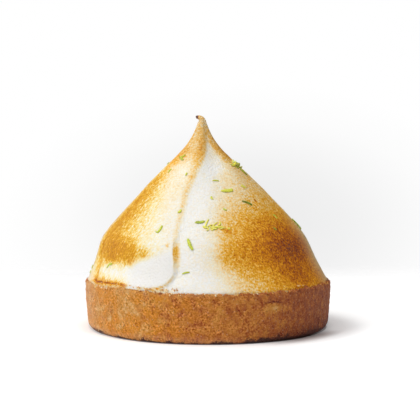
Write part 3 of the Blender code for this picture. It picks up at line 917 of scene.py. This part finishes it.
# Those in the meringue's edge are (how many, from and to azimuth, highest).
for count, start, end, highest in (
    (44, -34, -12, 0.0172), (16, 2, 74, 0.017), (14, -60, -34, 0.0166),
):
    for _ in range(count):
        azimuth, height = draw.uniform(start, end), draw.triangular(0.016, highest, 0.0162)
        stuck, _, _, outward = on_meringue(azimuth, height)
        size = draw.uniform(0.0003, 0.0007)
        bits.append(crumb_at(stuck + outward * 0.3 * size, size, draw.uniform(0.15, 1.0)))
rim_crumbs = joined("rim_crumbs", bits, crumb_makers)
crumbs, tree, shader, place = new_material(
    "loose_crumbs", Roughness=0.6, Specular_IOR_Level=0.3)
level, height = mottle(tree, place, attribute(tree, "tint"), 0.003, 0.3, 0.0004, 0.2)
CRUMB_STOPS = (
    (0.00, 0.360, 0.090, 0.026),
    (0.30, 0.600, 0.220, 0.046),
    (0.60, 0.800, 0.460, 0.110),
    (0.80, 0.860, 0.680, 0.340),
    (1.00, 0.900, 0.820, 0.660),
)
fill(tree, shader, Base_Color=ramp_node(tree, level, CRUMB_STOPS))
bump(tree, shader, height, 0.00005)
give_finish(rim_crumbs, crumbs)
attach(rim_crumbs, "root")


# --- The lime zest ---
# Fresh lime peel, taken off in short shreds with a fine grater and let fall on the sticky
# meringue. The outside is green, and the inside keeps a little of the pale pith.
shred_makers = []
shred_rings = 16
for number, (wide, thick, bend, arch, twist) in enumerate((
    (0.27, 0.15, 25, 0, 10), (0.22, 0.13, -40, 0, 35), (0.32, 0.15, 60, 0, -25),
    (0.25, 0.14, 110, 0, 40), (0.24, 0.14, 30, 150, 30),
)):
    bpy.ops.object.select_all(action="DESELECT")
    bpy.ops.mesh.primitive_cube_add(size=1, location=(0, 0, 0))
    shred = bpy.context.object
    shred.name = f"shred_{number}"
    bpy.ops.object.mode_set(mode="EDIT")
    bpy.ops.mesh.select_all(action="SELECT")
    bpy.ops.transform.resize(value=(1, wide, thick))
    for cut in range(1, shred_rings):
        bpy.ops.mesh.select_all(action="SELECT")
        bpy.ops.mesh.bisect(plane_co=(cut / shred_rings - 0.5, 0, 0), plane_no=(1, 0, 0))
    bpy.ops.mesh.select_all(action="SELECT")
    bpy.ops.mesh.bisect(plane_co=(0, 0, 0), plane_no=(0, 1, 0))
    bpy.ops.object.mode_set(mode="OBJECT")
    rough = np.random.default_rng(number)
    points = points_of(shred)
    along = np.abs(points[:, 0]) * 2
    taper = 1 - 0.45 * along**3
    saw = 1 + 0.24 * np.sin(points[:, 0] * 34 + number) + rough.uniform(-0.1, 0.1, len(points))
    points[:, 1] *= taper * saw
    points[:, 2] *= taper
    under = (points[:, 2] < 0).astype(np.float32)
    put_points(shred, points)
    pith = shred.data.attributes.new("pith", "FLOAT", "POINT")
    pith.data.foreach_set("value", under)
    for method, axis, amount in (("TWIST", "X", twist), ("BEND", "Z", bend), ("BEND", "Y", arch)):
        deform = shred.modifiers.new("deform", "SIMPLE_DEFORM")
        deform.deform_method = method
        deform.deform_axis = axis
        deform.angle = math.radians(amount)
        bpy.ops.object.modifier_apply(modifier="deform")
    soften = shred.modifiers.new("soften", "SUBSURF")
    soften.levels = soften.render_levels = 1
    bpy.ops.object.modifier_apply(modifier="soften")
    bpy.ops.object.shade_smooth()
    shred_makers.append(shred)

# The shreds, as (azimuth, height, length, degrees from level, maker, tint). A tint of 0 is
# the deep green of the peel's outside, and 1 the pale yellow-green of a thin shaving.
shreds = [
    (26, 0.0456, 0.0042, 0, 0, 0.62), (28, 0.0459, 0.0032, 6, 2, 0.72),
    (-2, 0.0367, 0.0031, 10, 2, 0.3), (-4, 0.0366, 0.0016, 30, 3, 0.25),
    (2, 0.0365, 0.0034, 68, 1, 0.76), (1, 0.0352, 0.0018, -28, 2, 0.74),
    (4, 0.0358, 0.0024, 22, 1, 0.86), (6, 0.035, 0.0026, -22, 2, 0.84),
    (11, 0.0362, 0.002, 62, 3, 0.78), (12, 0.035, 0.0018, 12, 1, 0.88),
    (3, 0.0348, 0.0016, 80, 3, 0.82), (7, 0.036, 0.003, 48, 1, 0.8),
    (9, 0.0353, 0.0034, 0, 0, 0.72), (16, 0.0348, 0.0009, 0, 2, 0.8),
    (5, 0.0346, 0.0014, -40, 3, 0.8), (-8, 0.0303, 0.0043, -66, 0, 0.45),
    (-10, 0.022, 0.0025, 14, 1, 0.36), (40, 0.042, 0.0037, -33, 1, 0.02),
    (62, 0.053, 0.0024, 5, 2, 0.6), (57, 0.0533, 0.0016, -10, 3, 0.9),
    (66, 0.0534, 0.0022, 60, 4, 0.55), (72, 0.0537, 0.0026, 70, 4, 0.72),
    (74, 0.053, 0.0028, -20, 4, 0.4), (79, 0.0534, 0.0026, 35, 4, 0.8),
    (68, 0.0524, 0.002, -30, 0, 0.35), (82, 0.0524, 0.0028, -60, 4, 0.42),
    (77, 0.0507, 0.0034, -76, 0, 0.22), (79, 0.0514, 0.002, -50, 1, 0.55),
    (90, 0.0334, 0.0056, -58, 0, 0.3), (91, 0.0342, 0.003, -50, 2, 0.42),
    (17, 0.0488, 0.0022, -6, 1, 0.5), (8, 0.0437, 0.0015, -80, 2, 0.66),
    (48, 0.0467, 0.0018, -35, 2, 0.8), (49, 0.0463, 0.001, 10, 3, 0.7),
    (17, 0.0403, 0.0013, -45, 0, 0.4), (60, 0.0376, 0.0014, -20, 1, 0.55),
    (60, 0.0369, 0.0012, -60, 3, 0.5), (50, 0.0339, 0.0014, -55, 1, 0.15),
    (-49, 0.0558, 0.0026, 30, 3, 0.42), (-45, 0.0551, 0.0018, -25, 2, 0.36),
    (-54, 0.0515, 0.0018, 78, 1, 0.5), (-86, 0.0532, 0.0018, 40, 3, 0.35),
    (-21, 0.0508, 0.0013, 85, 0, 0.55), (-17, 0.0398, 0.0016, 55, 2, 0.5),
    (-27, 0.0345, 0.003, 75, 0, 0.5), (-28, 0.0336, 0.0016, 10, 3, 0.5),
    (-58, 0.0223, 0.0026, 45, 1, 0.4), (-56, 0.0227, 0.0014, 5, 3, 0.45),
    (-88, 0.0196, 0.0016, 60, 0, 0.4), (-90, 0.0176, 0.0016, 40, 3, 0.45),
]
# Behind, they fell more evenly.
back_shreds, back_start, back_end = 18, 105, 262
draw = random.Random(7)
for number in range(back_shreds):
    share = (number + draw.uniform(0.2, 0.8)) / back_shreds
    height, length = draw.uniform(0.02, 0.056), draw.uniform(0.0014, 0.0042)
    turn = draw.uniform(-80, 80)
    azimuth = back_start + (back_end - back_start) * share
    shreds.append((azimuth, height, length, turn, number % 4, (number * 0.37) % 0.9))

bits = []
for azimuth, height, length, turn, maker, tint in shreds:
    place, along, upward, outward = on_meringue(azimuth, height)
    around = math.radians(turn)
    run = along * math.cos(around) + upward * math.sin(around)
    width = (min(length, 0.003) * 0.35 + length * 0.65) * (0.8 if tint > 0.7 else 1.0)
    size = mathutils.Matrix.Diagonal((length, max(width, 0.0022), max(width, 0.0024), 1))
    raised = mathutils.Matrix.Translation(place + outward * 0.00012)
    laid = mathutils.Matrix((run, outward.cross(run), outward)).transposed().to_4x4()
    matrix = raised @ laid @ size
    bits.append(copy_of(shred_makers[maker], matrix, tint))
zest = joined("lime_zest", bits, shred_makers)
peel, tree, shader, place = new_material(
    "lime_peel", Roughness=0.42, Subsurface_Weight=0.1, Subsurface_Scale=0.0004)
level, height = mottle(tree, place, attribute(tree, "tint"), 0.0012, 0.7, 0.0003, 0.35)
PEEL_STOPS = (
    (0.00, 0.170, 0.210, 0.012),
    (0.30, 0.430, 0.510, 0.018),
    (0.55, 0.640, 0.670, 0.045),
    (0.80, 0.790, 0.720, 0.080),
    (1.00, 0.880, 0.800, 0.260),
)
colour = ramp_node(tree, level, PEEL_STOPS)
colour = tinged(tree, colour, (0.78, 0.76, 0.34), 0.6, attribute(tree, "pith"))
fill(tree, shader, Base_Color=colour)
bump(tree, shader, height, 0.00012)
give_finish(zest, peel)
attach(zest, "root")
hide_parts("meringue")


# --- The studio ---
# A pale table that fades into a light backdrop, a big soft light high on the left, and the
# camera at the front, a little above the table.
table_radius = 0.32
bpy.ops.object.select_all(action="DESELECT")
bpy.ops.mesh.primitive_circle_add(
    vertices=96, radius=table_radius, fill_type="NGON", location=(0, 0, 0))
table = bpy.context.object
table.name = "table"
white, tree, shader, place = new_material(
    "white_table", Roughness=0.6, Specular_IOR_Level=0.2, Emission_Strength=1.0)
length = add_node(tree, "VectorMath", Vector=place)
length.operation = "LENGTH"
across = add_node(tree, "SeparateXYZ", Vector=place)
distance, sideways = length.outputs["Value"], across.outputs["X"]
backwards = across.outputs["Y"]
# The table glows faintly, a painted light. At the right a painted shadow takes the glow away
# beside the tart, but for a strip of painted bounce light from the crust, and farther out the
# table glows brighter.
table_glow = 0.14
glow = between(tree, distance, 0.0425, 0.0545)
glow = scaled(tree, glow, 0.3, -table_glow)
painted_crust_bounce = between(tree, backwards, -0.022, -0.008)
painted_crust_bounce = times(tree, between(tree, distance, 0.0455, 0.0412), painted_crust_bounce)
glow = scaled(tree, painted_crust_bounce, 0.13, glow)
shaded = between(tree, sideways, -0.005, 0.03)
glow = scaled(tree, shaded, glow, table_glow)
fill(tree, shader, Emission_Color=glow)
# Painted contact shadow darkens it where the crust touches it, and painted shade dims it by the
# crust at the right front.
painted_contact_shadow = times(
    tree, between(tree, distance, 0.0392, 0.0384), between(tree, sideways, -0.034, -0.018))
painted_dim_shade = times(tree, between(tree, distance, 0.0465, 0.04), 0.6)
painted_dim_shade = times(tree, painted_dim_shade, between(tree, sideways, 0.014, 0.031))
painted_dim_shade = times(tree, painted_dim_shade, between(tree, backwards, -0.006, -0.018))
painted_contact_shadow = math_node(tree, "MAXIMUM", painted_contact_shadow, painted_dim_shade)
colour = mix_colour(tree, painted_contact_shadow, (0.95, 0.95, 0.95), (0.16, 0.07, 0.05))
fill(tree, shader, Base_Color=colour)
fade = between(tree, distance, 0.31, 0.13)
fade = math_node(tree, "MINIMUM", fade, between(tree, backwards, 0.17, 0.05))
fill(tree, shader, Alpha=fade)
table.data.materials.append(white)

world = bpy.data.worlds.new("studio")
bpy.context.scene.world = world
world.use_nodes = True
tree = world.node_tree
ambient = fill(tree, tree.nodes["Background"], Color=(1.0, 1.0, 1.0), Strength=0.12)
towards = add_node(tree, "TexCoord").outputs["Generated"]
halo = add_node(tree, "Mapping", Vector=towards, Location=(-0.163, -0.995, 1.29),
                Scale=(7.4, 1.0, 12.8))
sphere = add_node(tree, "TexGradient", Vector=halo.outputs[0])
sphere.gradient_type = "SPHERICAL"
greys = ((0.0, 1.0), (0.25, 0.97), (0.6, 0.88), (1.0, 0.82))
grey = ramp_node(tree, sphere.outputs["Fac"], [(at, level, level, level) for at, level in greys])
backdrop = add_node(tree, "Background", Color=grey)
seen = add_node(tree, "LightPath")
mixed = add_node(tree, "MixShader", Fac=seen.outputs["Is Camera Ray"])
put(tree, mixed.inputs[1], ambient.outputs[0])
put(tree, mixed.inputs[2], backdrop.outputs[0])
fill(tree, tree.nodes["World Output"], Surface=mixed.outputs[0])


def soft_light(name, azimuth, elevation, distance, size, power, colour=(1, 1, 1)):
    """A square soft light, aimed at the tart."""
    data = bpy.data.lights.new(name, "AREA")
    data.size = size
    data.energy = power
    data.color = colour
    lamp = bpy.data.objects.new(name, data)
    bpy.context.scene.collection.objects.link(lamp)
    around, up = math.radians(azimuth), math.radians(elevation)
    lamp.location = (
        distance * math.sin(around) * math.cos(up),
        -distance * math.cos(around) * math.cos(up),
        distance * math.sin(up) + 0.03,
    )
    lamp.rotation_euler = (math.pi / 2 - up, 0, around)


# Each by its azimuth and elevation in degrees, distance, size and power.
soft_light("key", -60, 40, 1.0, 0.6, 5.4)
soft_light("overhead", 0, 84, 0.9, 0.6, 5.2)
soft_light("fill", 42, 24, 1.0, 0.7, 0.7)
soft_light("left_edge", -125, 20, 0.9, 0.5, 2.0, (1.0, 0.93, 0.9))

camera_distance, camera_elevation, camera_pitch, camera_turn = 0.6, 8.944, 5.317, 0.063
data = bpy.data.cameras.new("camera")
data.sensor_width = 36.0
data.lens = 156.11
camera = bpy.data.objects.new("camera", data)
bpy.context.scene.collection.objects.link(camera)
rise = math.radians(camera_elevation)
camera.location = (0, -camera_distance * math.cos(rise), camera_distance * math.sin(rise))
camera.rotation_euler = (math.radians(90 - camera_pitch), 0, math.radians(-camera_turn))
bpy.context.scene.camera = camera
bpy.context.scene.view_settings.view_transform = "Standard"
